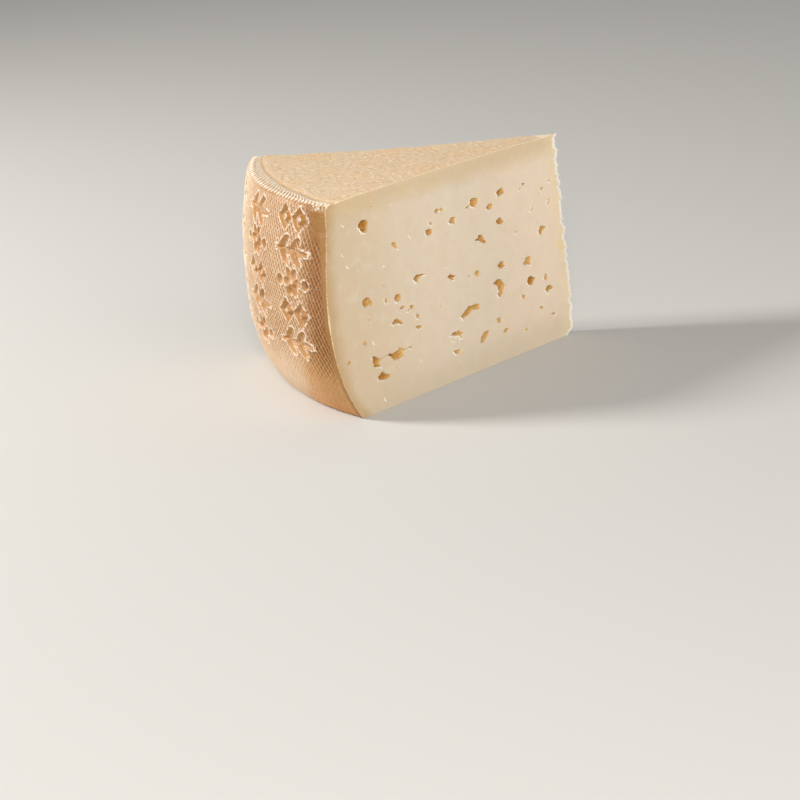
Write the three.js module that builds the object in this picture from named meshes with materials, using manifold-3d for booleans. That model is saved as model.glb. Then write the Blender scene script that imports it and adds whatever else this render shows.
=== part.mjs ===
// Asiago cheese: one wedge cut from a pressed wheel, resting on its flat bottom.
// Millimetres, +Z up, +X from the rind towards the tip. The origin is under the middle of the box.
// The wedge is one piece: the wheel's profile is turned, the two cuts leave the wedge,
// and the eyes of the paste and the ornaments of the rind are then cut out of it.
import * as THREE from 'three';
import { mergeVertices } from 'three/addons/utils/BufferGeometryUtils.js';
import Module from 'manifold-3d';

// ---- Wheel ----
const HEIGHT = 120; // up to the rim
const BULGE_RADIUS = 175; // the rind's widest radius
const BULGE_HEIGHT = 54;
const FOOT_INSET = 13.7; // how far the foot lies inside the bulge
const FOOT_POWER = 3.1; // how suddenly the side turns in
const SHOULDER_INSET = 8.4;
const SHOULDER_POWER = 2.5;
const LIP_RADIUS = 5; // the round bead along the top rim
const GROOVE_DEPTH = 0.5; // the line inside the bead, below the top face
const CROWN = 1.2; // the top face stands this much over the rim half way in
const SIDE_STEPS = 12;
const LIP_STEPS = 4;
const CROWN_STEPS = 6;
const TURN_STEPS = 120;

// ---- Cuts ----
const HALF_ANGLE = THREE.MathUtils.degToRad(23);
const TIP_X = 14; // the tip lies past the wheel's axis
const TIP_LEAN = new THREE.Vector2(2, -6.6); // the tip's foot, seen from its top
const TIP_WIDTH = 1.6; // the tip is blunt
const TIP_CHIP = 5; // the corner lost at the tip's foot
const CUT_REACH = 230;

// ---- Ornaments pressed into the rind ----
const ORNAMENT_DEPTH = 1.5;
const ORNAMENT_LENGTH = 27;
const COLUMN_ANGLES = [-15.7, -1.5, 12.7].map(THREE.MathUtils.degToRad);
const ORNAMENT_PITCH = 17.3;
const LOWEST_ORNAMENT = 41;
const COLUMN_STAGGER = 2;
const ORNAMENTS_PER_COLUMN = 5;
const OVAL_SIDES = 6;

// ---- Eyes in the paste: distance from the tip, height, width, height of the eye, lean in degrees ----
const EYE_DEPTH_SHARE = 0.62; // depth of an eye for its size
const EYE_SIDES = 7;
const EYE_RINGS = 6;
const FRONT_EYES = [
  [155, 103, 7.5, 8, 0],
  [134.5, 87, 4.5, 4, 0],
  [99.5, 98, 9, 5, -10],
  [108, 88, 5.5, 4.5, 0],
  [121, 65, 10.5, 5, 10],
  [160, 62, 9, 6, 0],
  [137, 58, 5.5, 5, 20],
  [139.5, 45.5, 9, 4.5, 10],
  [157, 28, 7.5, 6.5, 0],
  [143, 27.5, 12, 4.5, 15],
  [153.5, 18, 10, 6, -10],
  [50, 96.5, 7, 5.5, 20],
  [72, 96, 7, 5, -20],
  [60, 90.5, 6, 4, 30],
  [90, 90, 6, 4, -20],
  [53, 80.5, 6, 5, 0],
  [69.5, 74, 9, 5.5, 10],
  [20, 67, 6, 6, 30],
  [56, 55.5, 7.5, 5, 0],
  [34, 52, 7, 5.5, 0],
  [95, 59, 6.5, 4, 0],
  [75, 56, 4.5, 4, 0],
  [58, 44, 7, 11, -25],
  [33, 40.5, 7, 5.5, 0],
  [19, 31.5, 6, 5.5, 30],
  [83, 36, 16, 3.5, 25],
  [96, 25.5, 9.5, 5, 0],
  [97.5, 16, 6, 4, -30],
  [74.5, 18, 6, 8, -30],
];
const BACK_EYE_COUNT = 24;
const BACK_EYE_BOX = { near: 16, far: 160, low: 14, high: 106 };
const BACK_EYE_SIZE = { small: 4, large: 9, lowest: 0.6 };

const wasm = await Module();
wasm.setup();

function solidOf(geometry) {
  geometry.deleteAttribute('normal');
  geometry.deleteAttribute('uv');
  const welded = mergeVertices(geometry, 1e-4);
  return new wasm.Manifold(
    new wasm.Mesh({
      numProp: 3,
      vertProperties: welded.attributes.position.array,
      triVerts: new Uint32Array(welded.index.array),
    })
  );
}

function geometryOf(solid) {
  const mesh = solid.getMesh();
  const geometry = new THREE.BufferGeometry();
  geometry.setAttribute('position', new THREE.BufferAttribute(mesh.vertProperties, 3));
  geometry.setIndex(new THREE.BufferAttribute(mesh.triVerts, 1));
  geometry.computeVertexNormals();
  return geometry;
}

// ---- The wheel's profile ----
function sideRadius(height) {
  const below = Math.max(0, (BULGE_HEIGHT - height) / BULGE_HEIGHT);
  const above = Math.max(0, (height - BULGE_HEIGHT) / (HEIGHT - BULGE_HEIGHT));
  return BULGE_RADIUS - FOOT_INSET * below ** FOOT_POWER - SHOULDER_INSET * above ** SHOULDER_POWER;
}

const LIP_CENTRE_HEIGHT = HEIGHT - LIP_RADIUS;
const LIP_CENTRE_RADIUS = sideRadius(LIP_CENTRE_HEIGHT) - LIP_RADIUS;
const GROOVE_RADIUS = LIP_CENTRE_RADIUS - LIP_RADIUS;

function wheelProfile() {
  const points = [new THREE.Vector2(0, 0)];
  for (let i = 0; i < SIDE_STEPS; i++) {
    const height = (LIP_CENTRE_HEIGHT * i) / SIDE_STEPS;
    points.push(new THREE.Vector2(sideRadius(height), height));
  }
  for (let i = 0; i <= LIP_STEPS; i++) {
    const angle = (Math.PI * 0.62 * i) / LIP_STEPS;
    const radius = LIP_CENTRE_RADIUS + LIP_RADIUS * Math.cos(angle);
    points.push(new THREE.Vector2(radius, LIP_CENTRE_HEIGHT + LIP_RADIUS * Math.sin(angle)));
  }
  points.push(new THREE.Vector2(GROOVE_RADIUS, HEIGHT - GROOVE_DEPTH));
  for (let i = 1; i < CROWN_STEPS; i++) {
    const radius = GROOVE_RADIUS * (1 - i / CROWN_STEPS);
    const offCentre = (2 * i) / CROWN_STEPS - 1;
    points.push(new THREE.Vector2(radius, HEIGHT + CROWN * (1 - offCentre ** 2)));
  }
  points.push(new THREE.Vector2(0, HEIGHT));
  return points;
}

function wheel() {
  const geometry = new THREE.LatheGeometry(wheelProfile(), TURN_STEPS);
  geometry.rotateX(Math.PI / 2);
  return solidOf(geometry);
}

// ---- The wedge that the two cuts leave, leaning with the tip ----
function leanWithTip(geometry) {
  const lean = new THREE.Matrix4();
  lean.elements[8] = -TIP_LEAN.x / HEIGHT;
  lean.elements[9] = -TIP_LEAN.y / HEIGHT;
  lean.elements[12] = TIP_LEAN.x;
  lean.elements[13] = TIP_LEAN.y;
  geometry.applyMatrix4(lean);
}

function cutsPrism() {
  const overshoot = 5;
  const farX = TIP_X - CUT_REACH * Math.cos(HALF_ANGLE);
  const farY = CUT_REACH * Math.sin(HALF_ANGLE);
  const outline = new THREE.Shape([
    new THREE.Vector2(TIP_X, -TIP_WIDTH / 2),
    new THREE.Vector2(TIP_X, TIP_WIDTH / 2),
    new THREE.Vector2(farX, farY),
    new THREE.Vector2(farX, -farY),
  ]);
  const geometry = new THREE.ExtrudeGeometry(outline, {
    depth: HEIGHT + 2 * overshoot,
    bevelEnabled: false,
  });
  geometry.translate(0, 0, -overshoot);
  leanWithTip(geometry);
  return solidOf(geometry);
}

function tipChip() {
  const geometry = new THREE.BoxGeometry(TIP_CHIP, 6 * TIP_CHIP, 6 * TIP_CHIP);
  geometry.translate(TIP_CHIP / 2, 0, 0);
  geometry.rotateY(Math.PI / 4);
  geometry.translate(TIP_X + TIP_LEAN.x - TIP_CHIP / 2, TIP_LEAN.y, TIP_CHIP / 2);
  return solidOf(geometry);
}

// ---- Eyes: flattened hollows, centred on a cut face ----
function cutFrame(side) {
  const along = new THREE.Vector3(-Math.cos(HALF_ANGLE), side * Math.sin(HALF_ANGLE), 0);
  const up = new THREE.Vector3(-TIP_LEAN.x, -TIP_LEAN.y, HEIGHT).normalize();
  const across = new THREE.Vector3().crossVectors(along, up);
  return { along, up, across };
}

function cutPoint(side, fromTip, height) {
  const share = 1 - height / HEIGHT;
  const { along } = cutFrame(side);
  const foot = new THREE.Vector3(TIP_X + TIP_LEAN.x * share, TIP_LEAN.y * share, height);
  return foot.addScaledVector(along, fromTip);
}

function eye(side, [fromTip, height, width, tallness, lean]) {
  const geometry = new THREE.SphereGeometry(0.5, EYE_SIDES, EYE_RINGS);
  const depth = 2 * EYE_DEPTH_SHARE * Math.sqrt(width * tallness);
  geometry.scale(width, tallness, depth);
  geometry.rotateZ(THREE.MathUtils.degToRad(lean));
  const { along, up, across } = cutFrame(side);
  geometry.applyMatrix4(new THREE.Matrix4().makeBasis(along, up, across));
  geometry.translate(...cutPoint(side, fromTip, height).toArray());
  return solidOf(geometry);
}

// Even but unordered places in the unit square: the fractions of two irrational steps.
function scatter(i) {
  return [(0.37 + i * 0.7548776662) % 1, (0.61 + i * 0.5698402909) % 1];
}

function backEyes() {
  const eyes = [];
  for (let i = 0; i < BACK_EYE_COUNT; i++) {
    const [u, v] = scatter(i);
    const [sizeShare, shapeShare] = scatter(3 * i + 1);
    const width = THREE.MathUtils.lerp(BACK_EYE_SIZE.small, BACK_EYE_SIZE.large, sizeShare);
    const tallness = width * THREE.MathUtils.lerp(BACK_EYE_SIZE.lowest, 1, shapeShare);
    const fromTip = THREE.MathUtils.lerp(BACK_EYE_BOX.near, BACK_EYE_BOX.far, u);
    const height = THREE.MathUtils.lerp(BACK_EYE_BOX.low, BACK_EYE_BOX.high, v);
    eyes.push([fromTip, height, width, tallness, 60 * (shapeShare - 0.5)]);
  }
  return eyes;
}

// ---- Ornaments: each is a set of flat stamps, drawn with x around the wheel and y up ----
function oval(x, y, length, width, lean = 0) {
  const geometry = new THREE.CylinderGeometry(0.5, 0.5, 4 * ORNAMENT_DEPTH, OVAL_SIDES);
  geometry.rotateX(Math.PI / 2);
  geometry.translate(0, 0, ORNAMENT_DEPTH);
  geometry.scale(length, width, 1);
  geometry.rotateZ(lean);
  geometry.translate(x, y, 0);
  return geometry;
}

function lozengeOutline(length, width) {
  const corners = [
    [length / 2, 0],
    [0, width / 2],
    [-length / 2, 0],
    [0, -width / 2],
  ];
  return corners.map(([x, y]) => new THREE.Vector2(x, y));
}

function lozengeRing(x, length, width, stroke) {
  const outline = new THREE.Shape(lozengeOutline(length, width));
  outline.holes.push(new THREE.Path(lozengeOutline(length - 2 * stroke, width - 2 * stroke)));
  const geometry = new THREE.ExtrudeGeometry(outline, {
    depth: 4 * ORNAMENT_DEPTH,
    bevelEnabled: false,
  });
  geometry.translate(x, 0, -ORNAMENT_DEPTH);
  return geometry;
}

function sprig() {
  const stamps = [oval(0, 0, ORNAMENT_LENGTH, 2.4)];
  for (const x of [-6.5, 4.5]) {
    for (const side of [-1, 1]) {
      stamps.push(oval(x, side * 3.9, 9.5, 3.6, side * 0.7));
    }
  }
  return stamps;
}

function lozenges() {
  return [-7, 7].map((x) => lozengeRing(x, 13, 12.5, 3.4));
}

function rosette() {
  const stamps = [oval(-12.2, 0, 4.4, 4.4), oval(12.2, 0, 4.4, 4.4)];
  for (let i = 0; i < 6; i++) {
    const angle = (i * Math.PI) / 3;
    stamps.push(oval(4.9 * Math.cos(angle), 4.9 * Math.sin(angle), 6, 3.6, angle));
  }
  return stamps;
}

function placeOnRind(stamp, angle, height) {
  const slope = Math.atan(sideRadius(height + 0.5) - sideRadius(height - 0.5));
  const radius = sideRadius(height);
  stamp.rotateX(Math.PI / 2 + slope);
  stamp.rotateZ(-Math.PI / 2);
  stamp.translate(-radius, 0, height);
  stamp.rotateZ(-angle);
  return solidOf(stamp);
}

function ornamentSolids() {
  const kinds = [sprig, lozenges, rosette];
  const solids = [];
  COLUMN_ANGLES.forEach((angle, column) => {
    for (let row = 0; row < ORNAMENTS_PER_COLUMN; row++) {
      const height = LOWEST_ORNAMENT + row * ORNAMENT_PITCH - (column % 2) * COLUMN_STAGGER;
      const stamps = kinds[(row + 2 * column) % kinds.length]();
      stamps.forEach((stamp) => solids.push(placeOnRind(stamp, angle, height)));
    }
  });
  return solids;
}

// ---- Assembly ----
function wedge() {
  let solid = wheel().intersect(cutsPrism()).subtract(tipChip());
  FRONT_EYES.forEach((place) => {
    solid = solid.subtract(eye(-1, place));
  });
  backEyes().forEach((place) => {
    solid = solid.subtract(eye(1, place));
  });
  ornamentSolids().forEach((ornament) => {
    solid = solid.subtract(ornament);
  });
  return geometryOf(solid);
}

const paste = new THREE.MeshStandardMaterial({ color: 0xe6d6ad, roughness: 0.6, metalness: 0 });
const cheese = new THREE.Mesh(wedge(), paste);
cheese.name = 'cheese_wedge';
cheese.geometry.computeBoundingBox();
const middle = cheese.geometry.boundingBox.getCenter(new THREE.Vector3());
cheese.position.set(-middle.x, -middle.y, 0);

const group = new THREE.Group();
group.add(cheese);

export default group;
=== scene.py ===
"""Looks of the asiago cheese wedge: one closed mesh of rind and paste, in soft studio light.

Shapes are worked out in millimetres with the wheel's axis as the origin, the rind towards -X and
the front cut towards -Y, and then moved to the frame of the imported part.
"""

import math

import bpy
import numpy as np
from mathutils import Matrix, Vector
from mathutils.geometry import delaunay_2d_cdt


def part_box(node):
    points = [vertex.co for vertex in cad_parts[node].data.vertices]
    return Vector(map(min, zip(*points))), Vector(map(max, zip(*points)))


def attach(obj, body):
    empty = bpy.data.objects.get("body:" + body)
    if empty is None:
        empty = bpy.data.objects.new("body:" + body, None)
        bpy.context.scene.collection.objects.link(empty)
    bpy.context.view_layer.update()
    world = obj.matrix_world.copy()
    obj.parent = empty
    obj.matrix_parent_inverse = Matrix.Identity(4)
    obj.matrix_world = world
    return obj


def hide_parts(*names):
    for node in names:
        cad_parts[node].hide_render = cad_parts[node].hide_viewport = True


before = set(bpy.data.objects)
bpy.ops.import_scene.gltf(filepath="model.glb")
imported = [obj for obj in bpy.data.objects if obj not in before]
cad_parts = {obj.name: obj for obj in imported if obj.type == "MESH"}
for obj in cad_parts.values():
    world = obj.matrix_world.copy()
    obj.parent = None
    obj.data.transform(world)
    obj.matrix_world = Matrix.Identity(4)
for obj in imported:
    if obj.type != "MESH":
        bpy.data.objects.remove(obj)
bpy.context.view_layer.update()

NODE = "cheese_wedge"
MM = 0.001
LOW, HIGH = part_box(NODE)

# ---- The wheel and its two cuts, as in the CAD part ----
HEIGHT = 120.0  # up to the rim
CROWN = HIGH.z / MM - HEIGHT
BULGE_RADIUS = 175.0
BULGE_HEIGHT = 54.0
FOOT_INSET, FOOT_POWER = 13.7, 3.1
SHOULDER_INSET, SHOULDER_POWER = 8.4, 2.5
LIP_RADIUS = 5.0
LIP_TURN = 0.62 * math.pi
GROOVE_DEPTH = 0.55
TOP_BOWS = (0.9 * CROWN, -1.3 * CROWN)  # how far the top bows up along the front cut and the back cut
# The top's edge along the bead isn't quite round: how much wider it is than in the CAD part.
GROOVE_ARCS = (-75, -62, -40, -20, 9, 43, 70)
GROOVE_SHIFTS = (2.0, 2.0, -1.2, -1.7, -2.2, -0.4, 1.5)
# Along the front cut the side isn't quite round either.
FRONT_EDGE_HEIGHTS = (0, 12, 21, 34, 45, 56, 68, 81, 94, 106, 114)
FRONT_EDGE_SHIFTS = (-0.3, -1.4, -1.2, -0.6, 0.1, 0.7, 0.1, -0.9, -2.0, -1.9, -0.6)
FRONT_EDGE_REACH = 22.0
HALF_ANGLE = math.radians(23)
CUT_REACH = 230.0
TIP_X = 14.0
TIP_LEAN = np.array([2.0, -6.6])
TIP_WIDTH = 1.6
TIP_MIDDLE = 2.6  # how far its middle counts as being from its edges, for the shader
TIP_CHIP = 5.0  # height of the chip out of its foot
CRUMBLED = 4.5  # how far from the tip the cuts have a finer mesh
FRONT, BACK = -1, 1

LIP_CENTRE_HEIGHT = HEIGHT - LIP_RADIUS

# ---- How fine the mesh is ----
ARC_STEP = 0.52
FOOT_STEP, RUN_STEP, BEAD_STEP, OUTLINE_STEP = 1.0, 0.66, 0.5, 0.1
FOOT_RUN, BEAD_RUN = 24.0, 9.0  # how much of the outline has the foot's and the bead's steps
EYE_STEP = {FRONT: 0.35, BACK: 0.6}
EYE_FLOOR_STEP = 0.7
NEAR_EYE_STEP = 0.95
OPEN_STEP = 2.4
TOP_STEP = 1.7
BOTTOM_STEP = 4.0
EDGE_STEP, TIP_STEP = 1.2, 0.55

# ---- Relief of the rind ----
FOOT_ROUND = 2.4
STEEP_SLOPE, STEEP_PITCH = math.radians(62), 2.62  # the cloth's two families of threads
SLANT_SLOPE, SLANT_PITCH = math.radians(-46), 2.55
NET_DEPTH = 0.45
FURROW_DEPTH = 0.6
FURROW_END = -58.0  # arc at which the furrows give way to the net
RIB_ARCS, RIB_PITCHES = (-50, 5), (3.2, 4.7)  # the ribs lie closer at the front
RIB_REACH = 8.0  # how far from the groove the ribs reach
RIB_CREST, RIB_TURN = 6.5, 3.0  # where they start to slant, and how much further in they slant in full
RIB_SLANT = 2.4  # how far along the rim a slanting rib runs for each step towards the groove
RIB_DEPTH = 0.55
RIB_MODELLED = (2.8, 4.2)  # nearer to the groove than this the ribs are only bump and colour
BEAD_RISE = 0.3
PRINT_END = (119, 117.5)  # heights on the bead between which the cloth's print fades out
SMOOTH_STRIP = 4.0  # smooth strip along the cuts
STRIP_WIDENS, STRIP_EXTRA = (80, 95), 2.0  # heights between which the strip gets wider by so much
CORNER_HEIGHTS = (98, 105)  # where the amber corner at the front begins
ORNAMENT_DEPTH, ORNAMENT_RIM = 1.7, 0.4
ORNAMENT_SWELL = 0.45  # strokes are this much wider than in the CAD part
ORNAMENT_LENGTH = 27.0
COLUMN_ANGLES = (-15.7, -1.5, 12.7)
ORNAMENT_PITCH = 17.3
LOWEST_ORNAMENT = 41.0
COLUMN_STAGGER = 2.0
ORNAMENTS_PER_COLUMN = 5


def smoothstep(low, high, value):
    share = np.clip((value - low) / (high - low), 0, 1)
    return share * share * (3 - 2 * share)


def lerp(a, b, share):
    return a + (b - a) * share


# ---- Smooth random fields ----
NOISE_SEED, EYE_SEED, CUT_SEED, TOP_SEED, BOTTOM_SEED = 41, 7, 50, 61, 62
NOISE_CELLS = 256
NOISE_TABLE = np.random.default_rng(NOISE_SEED).uniform(-1, 1, (NOISE_CELLS, NOISE_CELLS))


def noise(x, y, channel):
    """A smooth field between -1 and 1 whose cells are 1 wide; each channel is another field."""
    x = np.asarray(x, float) + 37.7 * channel + 100
    y = np.asarray(y, float) + 61.3 * channel + 100
    column, row = np.floor(x).astype(int), np.floor(y).astype(int)
    u, v = x - column, y - row
    u, v = (t * t * t * (t * (6 * t - 15) + 10) for t in (u, v))

    def at(i, j):
        return NOISE_TABLE[(column + i) % NOISE_CELLS, (row + j) % NOISE_CELLS]

    return lerp(lerp(at(0, 0), at(1, 0), u), lerp(at(0, 1), at(1, 1), u), v)


def rough_noise(x, y, channel):
    return sum(noise(x * 2**k, y * 2**k, channel + 5 * k) / 2**k for k in range(3))


# ---- The wheel's outline ----
def side_radius(height):
    below = np.clip((BULGE_HEIGHT - height) / BULGE_HEIGHT, 0, None)
    above = np.clip((height - BULGE_HEIGHT) / (HEIGHT - BULGE_HEIGHT), 0, None)
    inset = FOOT_INSET * below**FOOT_POWER + SHOULDER_INSET * above**SHOULDER_POWER
    return BULGE_RADIUS - inset


LIP_CENTRE_RADIUS = float(side_radius(LIP_CENTRE_HEIGHT)) - LIP_RADIUS
GROOVE_RADIUS = LIP_CENTRE_RADIUS - LIP_RADIUS


def run_along(line):
    return np.r_[0, np.cumsum(np.linalg.norm(np.diff(line, axis=0), axis=1))]


def resampled(line, step):
    """The same line with evenly spaced points."""
    length = run_along(line)
    places = np.linspace(0, length[-1], round(length[-1] / step) + 1)
    return np.stack([np.interp(places, length, line[:, k]) for k in range(2)], 1)


def rind_outline():
    """(radius, height) from under the rounded foot, up the side and over the bead to the groove."""
    foot = side_radius(0.0)
    under = np.stack([np.linspace(foot - 2 * FOOT_ROUND, foot, 60), np.zeros(60)], 1)
    heights = np.linspace(0, LIP_CENTRE_HEIGHT, 1200)[1:]
    side = np.stack([side_radius(heights), heights], 1)
    turn = np.linspace(0, LIP_TURN, 120)[1:]
    centre = np.array([LIP_CENTRE_RADIUS, LIP_CENTRE_HEIGHT])
    bead = centre + LIP_RADIUS * np.stack([np.cos(turn), np.sin(turn)], 1)
    groove = np.array([[GROOVE_RADIUS, HEIGHT - GROOVE_DEPTH]])
    line = resampled(np.concatenate([under, side, bead, groove]), OUTLINE_STEP)
    width = int(FOOT_ROUND / OUTLINE_STEP)
    padded = np.concatenate([line[:1]] * width + [line] + [line[-1:]] * width)
    window = np.ones(2 * width + 1) / (2 * width + 1)
    mean = np.stack([np.convolve(padded[:, k], window, "valid") for k in range(2)], 1)
    rounded = smoothstep(6, 3, line[:, 1])[:, None]
    line = lerp(line, mean, rounded)
    run = run_along(line)
    first, last = np.searchsorted(run, (FOOT_RUN, run[-1] - BEAD_RUN))
    parts = (
        resampled(line[: first + 1], FOOT_STEP),
        resampled(line[first : last + 1], RUN_STEP)[1:],
        resampled(line[last:], BEAD_STEP)[1:],
    )
    return np.concatenate(parts)


def groove_shift(angle):
    return np.interp(BULGE_RADIUS * angle, GROOVE_ARCS, GROOVE_SHIFTS)


def top_height(x, y):
    """The top: crowned along the front cut, a little sunk along the back cut, grooved at the rim."""
    groove = GROOVE_RADIUS + groove_shift(np.arctan2(y, -x))
    radius = np.minimum(np.hypot(x, y), groove)
    middle = 1 - (1 - 2 * radius / groove) ** 2
    half_width = np.maximum(1, (TIP_X - x) * math.tan(HALF_ANGLE))
    bow = lerp(*TOP_BOWS, smoothstep(-1, 0.9, y / half_width))
    inner = smoothstep(groove, groove - 2.5, radius)
    waves = 0.18 * noise(x / 14, y / 14, 3) * inner
    return HEIGHT + middle * bow - waves - GROOVE_DEPTH * (1 - inner)


# ---- The two cuts ----
def cut_line(side, height):
    """Where the cut starts at the blunt tip at that height, and its direction."""
    share = 1 - np.asarray(height, float) / HEIGHT
    start = np.stack([TIP_X + TIP_LEAN[0] * share, side * TIP_WIDTH / 2 + TIP_LEAN[1] * share], -1)
    along = np.array([-math.cos(HALF_ANGLE), side * (math.sin(HALF_ANGLE) - TIP_WIDTH / 2 / CUT_REACH)])
    return start, along / np.linalg.norm(along)


def on_cut(side, from_tip, height):
    start, along = cut_line(side, height)
    return np.column_stack([start + along * from_tip[:, None], height])


def flat_on_cut(side, points):
    """The distance from the tip and the height of points on a cut."""
    start, along = cut_line(side, points[:, 2])
    return np.stack([(points[:, :2] - start) @ along, points[:, 2]], 1)


def cut_depth_axis(side):
    """The unit vector into the paste, square to the cut."""
    _, along = cut_line(side, 0.0)
    up = np.array([-TIP_LEAN[0], -TIP_LEAN[1], HEIGHT])
    inward = np.cross([along[0], along[1], 0], up) * -side
    return inward / np.linalg.norm(inward)


def reach_to_radius(side, height, radius):
    start, along = cut_line(side, height)
    toward = start @ along
    return -toward + np.sqrt(toward**2 - (start**2).sum(-1) + radius**2)


# ---- Ornaments pressed into the rind ----
def oval_gap(x, y, length, width, lean=0.0):
    """About how far a point is outside an oval; negative inside."""
    u = x * math.cos(lean) + y * math.sin(lean)
    v = -x * math.sin(lean) + y * math.cos(lean)
    a, b = length / 2, width / 2
    k = np.sqrt((u / a) ** 2 + (v / b) ** 2) + 1e-9
    return k * (k - 1) / (np.sqrt((u / a**2) ** 2 + (v / b**2) ** 2) + 1e-9)


def lozenge_gap(x, y, length, width):
    a, b = length / 2, width / 2
    return (np.abs(x) / a + np.abs(y) / b - 1) * a * b / math.hypot(a, b)


def sprig_gap(x, y):
    gap = oval_gap(x, y, ORNAMENT_LENGTH, 2.6)
    for middle in (-6.5, 4.5):
        for side in (-1, 1):
            leaf = oval_gap(x - middle, y - side * 3.9, 9.5, 3.8, side * 0.7)
            gap = np.minimum(gap, leaf)
    return gap


def lozenges_gap(x, y):
    gap = np.full(x.shape, 99.0)
    for middle in (-7, 7):
        outer = lozenge_gap(x - middle, y, 13, 12.5)
        island = lozenge_gap(x - middle, y, 6.2, 5.7)
        gap = np.minimum(gap, np.maximum(outer, -island))
    return gap


def rosette_gap(x, y):
    gap = np.minimum(oval_gap(x - 12.2, y, 4.4, 4.4), oval_gap(x + 12.2, y, 4.4, 4.4))
    for i in range(6):
        turn = i * math.pi / 3
        petal = oval_gap(x - 4.9 * math.cos(turn), y - 4.9 * math.sin(turn), 6, 3.7, turn)
        gap = np.minimum(gap, petal)
    return gap


def ornaments_gap(arc, height):
    """How far each place of the rind is outside the nearest pressed stroke."""
    arc = arc + 0.45 * rough_noise(arc / 6, height / 6, 11)
    height = height + 0.4 * rough_noise(arc / 6, height / 6, 12)
    gap = np.full(arc.shape, 99.0)
    kinds = (sprig_gap, lozenges_gap, rosette_gap)
    for column, angle in enumerate(COLUMN_ANGLES):
        middle = BULGE_RADIUS * math.radians(angle)
        for row in range(ORNAMENTS_PER_COLUMN):
            level = LOWEST_ORNAMENT + row * ORNAMENT_PITCH - (column % 2) * COLUMN_STAGGER
            near = (np.abs(arc - middle) < 18) & (np.abs(height - level) < 10)
            kind = kinds[(row + 2 * column) % len(kinds)]
            gap[near] = np.minimum(gap[near], kind(middle - arc[near], height[near] - level))
    return gap


# ---- Relief of the rind's side ----
def thread_phase(arc, height, slope, pitch, channel):
    """Which thread of the cloth each place lies under, in cycles: whole numbers are its ridges."""
    bend = 0.22 * noise(arc / 19, height / 19, channel) + 0.07 * noise(arc / 5, height / 5, channel + 1)
    return (height * math.cos(slope) - arc * math.sin(slope)) / pitch + bend


def ridge(phase, sharpness=1.6):
    return (0.5 + 0.5 * np.cos(2 * math.pi * phase)) ** sharpness


def ribs_before(arc):
    """How many of the bead's ribs there are up to that arc."""
    places = np.linspace(-120, 120, 481)
    counts = np.cumsum(1 / np.interp(places, RIB_ARCS, RIB_PITCHES)) * (places[1] - places[0])
    return np.interp(arc, places, counts)


def rind_relief(arc, height, to_groove, front_gap, back_gap):
    """How deep each place of the rind's side is pressed in, and what its shader needs to know."""
    from_cut = np.minimum(front_gap, back_gap)
    edge_wander = 1.5 * noise(arc / 9, height / 9, 8)
    furrows = smoothstep(FURROW_END + 5, FURROW_END - 3, arc + 3 * noise(arc / 15, height / 15, 9))
    strip_width = SMOOTH_STRIP + STRIP_EXTRA * smoothstep(*STRIP_WIDENS, height)
    strip = smoothstep(strip_width * 0.4, strip_width * 1.3, from_cut + edge_wander)
    foot = smoothstep(14, 34, height + 4 * noise(arc / 12, height / 12, 10))
    smooth_spots = smoothstep(-0.75, -0.35, noise(arc / 9, height / 9, 13)) * smoothstep(-66, -64, -arc)
    patchy = lerp(1, smooth_spots, 0.6 * smoothstep(-25, -5, arc - 0.5 * height + 40))
    uneven_arc = arc + 2 * noise(arc / 6, height / 6, 25)
    corner = smoothstep(-62, -67, uneven_arc) * smoothstep(*CORNER_HEIGHTS, height)
    share = strip * smoothstep(*PRINT_END, height) * lerp(0.35, 1, foot) * patchy * (1 - 0.9 * corner)
    steep = thread_phase(arc, height, STEEP_SLOPE, STEEP_PITCH, 1)
    slanting = thread_phase(arc, height, SLANT_SLOPE, SLANT_PITCH, 3)
    sharpness = lerp(1.3, 2.6, furrows)
    pits = (1 - ridge(steep, sharpness)) * (1 - lerp(0.9, 0.5, furrows) * ridge(slanting, sharpness))

    longer = 1.2 * smoothstep(-35, -48, arc)
    ragged = to_groove - longer + 0.8 * noise(arc / 3, 0.0, 16)
    rib_share = smoothstep(RIB_REACH + 0.8, RIB_REACH - 0.8, ragged)
    rib_share = rib_share * smoothstep(1.0, 3.0, from_cut) * smoothstep(0.8, 2.0, to_groove)
    over = np.clip(RIB_CREST - to_groove, 0, RIB_CREST)
    turn = np.minimum(over, RIB_TURN)
    slanted = RIB_SLANT * (turn**2 / (2 * RIB_TURN) + over - turn)
    rib = ribs_before(arc - slanted + 0.5 * noise(arc / 4, height / 9, 15))

    gap = ornaments_gap(arc, height) - ORNAMENT_SWELL
    pressed = smoothstep(118, 115.5, height)
    stroke = smoothstep(0.25, -0.95, gap) * pressed
    rim = np.exp(-(((gap - 0.8) / 0.55) ** 2)) * pressed
    worn = lerp(0.75, 1.05, smoothstep(-0.7, 0.7, noise(arc / 12, height / 12, 14)))
    share = share * lerp(smoothstep(0.3, 2.0, gap), 0.7, smoothstep(-0.7, -1.3, gap) * pressed)

    low_waves = 0.35 + 0.35 * noise(arc / 24, height / 20, 17)
    streaks = 0.14 * noise(arc / 1.6 + height / 5, height / 7, 18) * (1 - foot)
    fine = 0.06 * noise(arc / 1.1, height / 1.1, 19)
    depth = lerp(NET_DEPTH, FURROW_DEPTH, furrows) * share * pits
    depth = depth + RIB_DEPTH * rib_share * smoothstep(*RIB_MODELLED, to_groove) * (1 - ridge(rib))
    depth = depth + ORNAMENT_DEPTH * worn * stroke - ORNAMENT_RIM * rim * worn
    even = smoothstep(0, 8, from_cut) * lerp(1, 0.4, smoothstep(112, 117, height))
    depth = depth + (low_waves + streaks + fine) * even
    looks = np.stack([share + 2 * rib_share, np.clip(gap, -3, 3), from_cut], -1)
    return depth, looks, np.stack([steep, slanting, rib], -1)


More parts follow.
